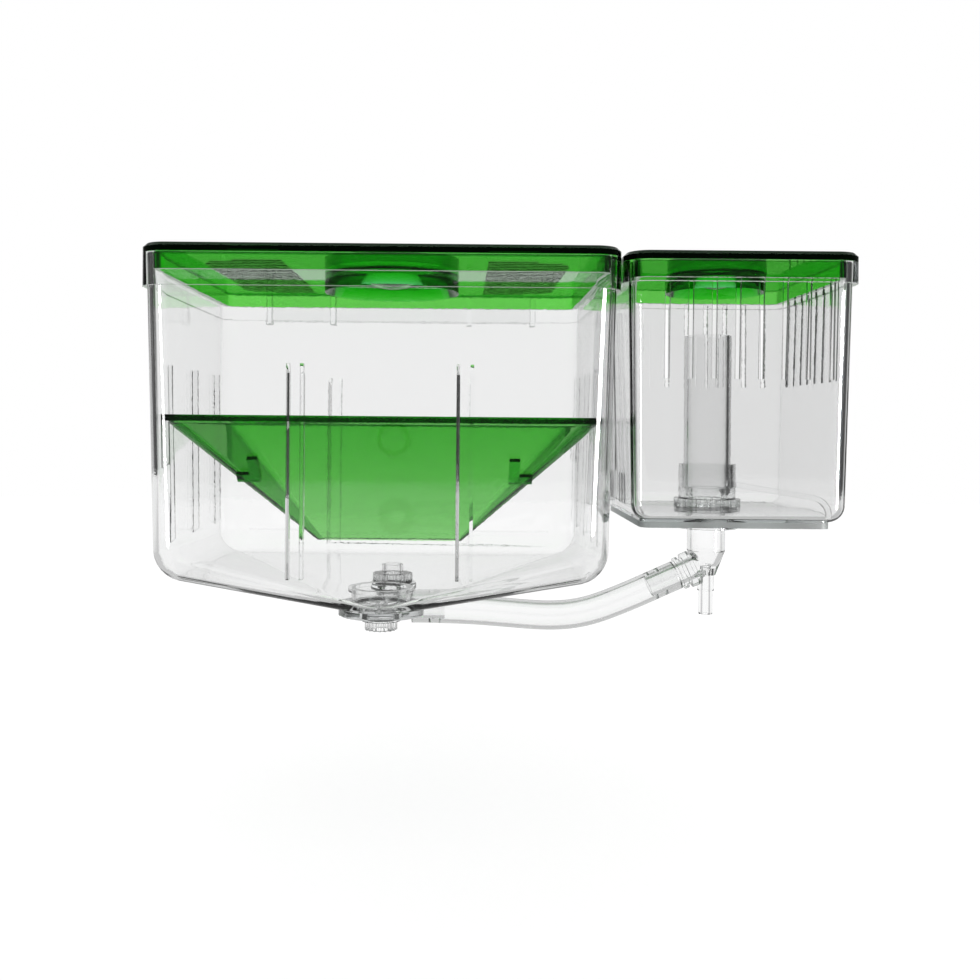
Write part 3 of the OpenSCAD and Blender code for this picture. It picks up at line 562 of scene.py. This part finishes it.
def matt_rim_painted_shade(m, shader, below, tint, polished):
    """Upright faces below a height are matt, with a grey that is painted shade, where the rest is
    polished.
    """
    low = maths(m, "LESS_THAN", coordinates(m, "Object")["Z"], below)
    rim = maths(m, "MULTIPLY", on_upright(m, surface_normal(m)), low)
    m.link(ramp(m, rim, 0.0, 1.0, polished, RIM_ROUGHNESS), shader.inputs["Roughness"])
    m.link(mix(m, "RGBA", rim, tint, RIM_SHADE_GREY), shader.inputs["Base Color"])


ACRYLIC_IOR = 1.49


def clear_material(name, absorbed, density, roughness, ior=ACRYLIC_IOR, tint=WHITE,
                   mirror=WHITE, level=0.5, edges=None, matt_below=None):
    """A clear plastic coloured by the depth of plastic that light passes, and by painted shade on
    any edges or matt rim given.
    """
    m = Nodes(name)
    shader = m.add("ShaderNodeBsdfPrincipled")
    for socket, value in (("Base Color", tint), ("Roughness", roughness), ("IOR", ior),
                          ("Transmission Weight", 1.0), ("Specular Tint", mirror),
                          ("Specular IOR Level", level)):
        shader.inputs[socket].default_value = value
    # Edges, where given, paint shade into the base colour of upright edges and side faces
    if edges:
        paint_edge_shade(m, shader, *edges)
    # A matt rim, where given, also gets a grey of painted shade
    if matt_below:
        matt_rim_painted_shade(m, shader, matt_below, tint, roughness)
    add_bump(m, shader)
    m.link(shader.outputs["BSDF"], m.output.inputs["Surface"])
    volume = m.add("ShaderNodeVolumeAbsorption", Color=absorbed, Density=density)
    m.link(volume.outputs["Volume"], m.output.inputs["Volume"])
    return m.material


# Heights just under the filter's floor, under the hopper's flange and under the lids' plates
FOOT_TOP = -0.0853
FLANGE_LOW = -0.0519
PLATES_LOW = 0.0051
CLEAR_ABSORBED = (0.2, 0.3, 0.3, 1)
GREEN_SHEEN = (0.35, 1, 0.4, 1)

CLEAR = clear_material("clear_acrylic", CLEAR_ABSORBED, density=9, roughness=0.02)
# The filter tank's foot rim is matt, with painted grey shade on it
FILTER_CLEAR = clear_material("filter_clear", CLEAR_ABSORBED, density=9, roughness=0.02,
                              tint=(0.92, 0.92, 0.92, 1), matt_below=FOOT_TOP)
HOSE_CLEAR = clear_material("clear_hose", (0.3, 0.36, 0.36, 1), density=20, roughness=0.05,
                            ior=1.4)
SEAL = clear_material("seal_rubber", (0.3, 0.3, 0.3, 1), density=120, roughness=0.35, ior=1.41,
                      tint=(0.85, 0.86, 0.87, 1))
# Edge colours of the hopper and the lids are painted shade: upright edges above a height, and on the
# hopper faces that lean to a side, are darker
GREEN = clear_material("green_acrylic", (0.15, 0.76, 0.0, 1), density=980, roughness=0.03,
                       mirror=GREEN_SHEEN,
                       edges=(FLANGE_LOW, (0.3, 0.5, 0.3, 1), (0.5, 0.7, 0.5, 1)))
LID_GREEN = clear_material("lid_green", (0.2, 0.88, 0.0, 1), density=1150, roughness=0.03,
                           mirror=GREEN_SHEEN, level=0.15,
                           edges=(PLATES_LOW, (0.3, 0.55, 0.35, 1), WHITE))
CAP_GREEN = clear_material("cap_green", (0.0, 0.8, 0.25, 1), density=1500, roughness=0.04,
                           ior=1.15, mirror=GREEN_SHEEN)

# Pieces of the scene, and CAD nodes by name; every other CAD node is clear
WEARERS = (
    (CLEAR, (main_tank,)),
    (FILTER_CLEAR, (filter_tank,)),
    (HOSE_CLEAR, (hose, "hose")),
    (SEAL, ("plug_seal", "drain_seal", "floor_seal")),
    (GREEN, (hopper, "spawning_hopper")),
    (LID_GREEN, (main_lid, filter_lid, "main_lid", "filter_lid")),
    (CAP_GREEN, (feeding_cap, filter_cap, "feeding_cap", "filter_cap")),
)


def assign(obj, material):
    obj.data.materials.clear()
    obj.data.materials.append(material)


for node in nodes.values():
    assign(node, CLEAR)
for material, wearers in WEARERS:
    for wearer in wearers:
        assign(nodes[wearer] if isinstance(wearer, str) else wearer, material)

# ---------- Stage and light ----------

# Strength of the backdrop's dark flags, and the spans of a direction's X over which they
# begin and end
FLAG_DARK = 0.05
FLAG_BEGINS = (0.45, 0.85)
FLAG_ENDS = (0.93, 0.97)
# Strength of the backdrop as it is mirrored: from low to high Y and from low to high Z
MIRRORED_BEHIND = (0.55, 0.95, 0.06, 0.75)
MIRRORED_ABOVE = (0.3, 0.8, 0.0, 0.5)
# Floor: height, half its side, grey, its glow as it is seen, and as it is mirrored along Y
FLOOR_Z = -0.2
FLOOR_REACH = 1.5
FLOOR_GREY = (0.25, 0.25, 0.25, 1)
FLOOR_GLOW = 0.85
FLOOR_MIRRORED = (0.25, 0.6, 0.5, 0.75)


def pick_by_path(m, straight, mirrored):
    """One strength for light that no surface has mirrored, another for light that one has."""
    path = m.add("ShaderNodeLightPath")
    bounced = maths(m, "GREATER_THAN", path.outputs["Glossy Depth"], 0.5)
    return mix(m, "FLOAT", bounced, straight, mirrored)


class WorldNodes(Nodes):
    """The same helpers for the world."""

    def __init__(self, name):
        scene.world = bpy.data.worlds.new(name)
        self.start(scene.world, "ShaderNodeOutputWorld")


def add_world():
    """A white backdrop, with a dark flag at each side that the camera doesn't see directly."""
    m = WorldNodes("studio")
    towards = coordinates(m, "Generated")
    aside = maths(m, "ABSOLUTE", towards["X"])
    flags = maths(m, "MAXIMUM", ramp(m, aside, *FLAG_BEGINS, 1.0, FLAG_DARK),
                  ramp(m, aside, *FLAG_ENDS, 0.0, 1.0))
    seen = m.add("ShaderNodeLightPath").outputs["Is Camera Ray"]
    straight = maths(m, "MAXIMUM", flags, seen)
    mirrored = maths(m, "MAXIMUM", ramp(m, towards["Y"], *MIRRORED_BEHIND),
                     ramp(m, towards["Z"], *MIRRORED_ABOVE))
    background = m.add("ShaderNodeBackground", Color=WHITE)
    m.link(pick_by_path(m, straight, mirrored), background.inputs["Strength"])
    m.link(background.outputs["Background"], m.output.inputs["Surface"])


def add_floor():
    """A plain white floor under the box."""
    corners = [(x * FLOOR_REACH, y * FLOOR_REACH, FLOOR_Z)
               for x, y in ((-1, -1), (1, -1), (1, 1), (-1, 1))]
    floor = place_mesh("floor", corners, [(0, 1, 2, 3)])
    m = Nodes("floor_white")
    diffuse = m.add("ShaderNodeBsdfDiffuse", Color=FLOOR_GREY)
    glow = m.add("ShaderNodeEmission", Color=WHITE)
    both = m.add("ShaderNodeAddShader")
    mirrored = ramp(m, coordinates(m, "Object")["Y"], *FLOOR_MIRRORED)
    m.link(pick_by_path(m, FLOOR_GLOW, mirrored), glow.inputs["Strength"])
    m.link(diffuse.outputs["BSDF"], both.inputs[0])
    m.link(glow.outputs["Emission"], both.inputs[1])
    m.link(both.outputs["Shader"], m.output.inputs["Surface"])
    floor.data.materials.append(m.material)


add_world()
add_floor()

# Place and power of each lamp; both stand so low that the tops of the lids don't mirror them
SOFTBOXES = (
    ("left_strip", (-0.55, -0.5, -0.075), 2.0),
    ("right_window", (0.6, -0.5, -0.075), 11.0),
)
SOFTBOX_SIZE = (0.12, 0.24)
MIDDLE = (Vector(cad_box[0]) + Vector(cad_box[1])) / 2


def add_softbox(name, at, power):
    """A soft panel light that only shines back from glossy surfaces."""
    data = bpy.data.lights.new(name, "AREA")
    data.shape = "RECTANGLE"
    data.size, data.size_y = SOFTBOX_SIZE
    data.energy = power
    light = place(name, data)
    light.location = at
    light.rotation_euler = (MIDDLE - Vector(at)).to_track_quat("-Z", "Y").to_euler()
    light.visible_diffuse = False
    light.visible_transmission = False
    light.visible_camera = False


for softbox in SOFTBOXES:
    add_softbox(*softbox)

# Light passes many walls of clear plastic
CLEAR_BOUNCES = 40
GLOSSY_BOUNCES = 12
scene.view_settings.view_transform = "Standard"
scene.cycles.max_bounces = CLEAR_BOUNCES
scene.cycles.transmission_bounces = CLEAR_BOUNCES
scene.cycles.glossy_bounces = GLOSSY_BOUNCES
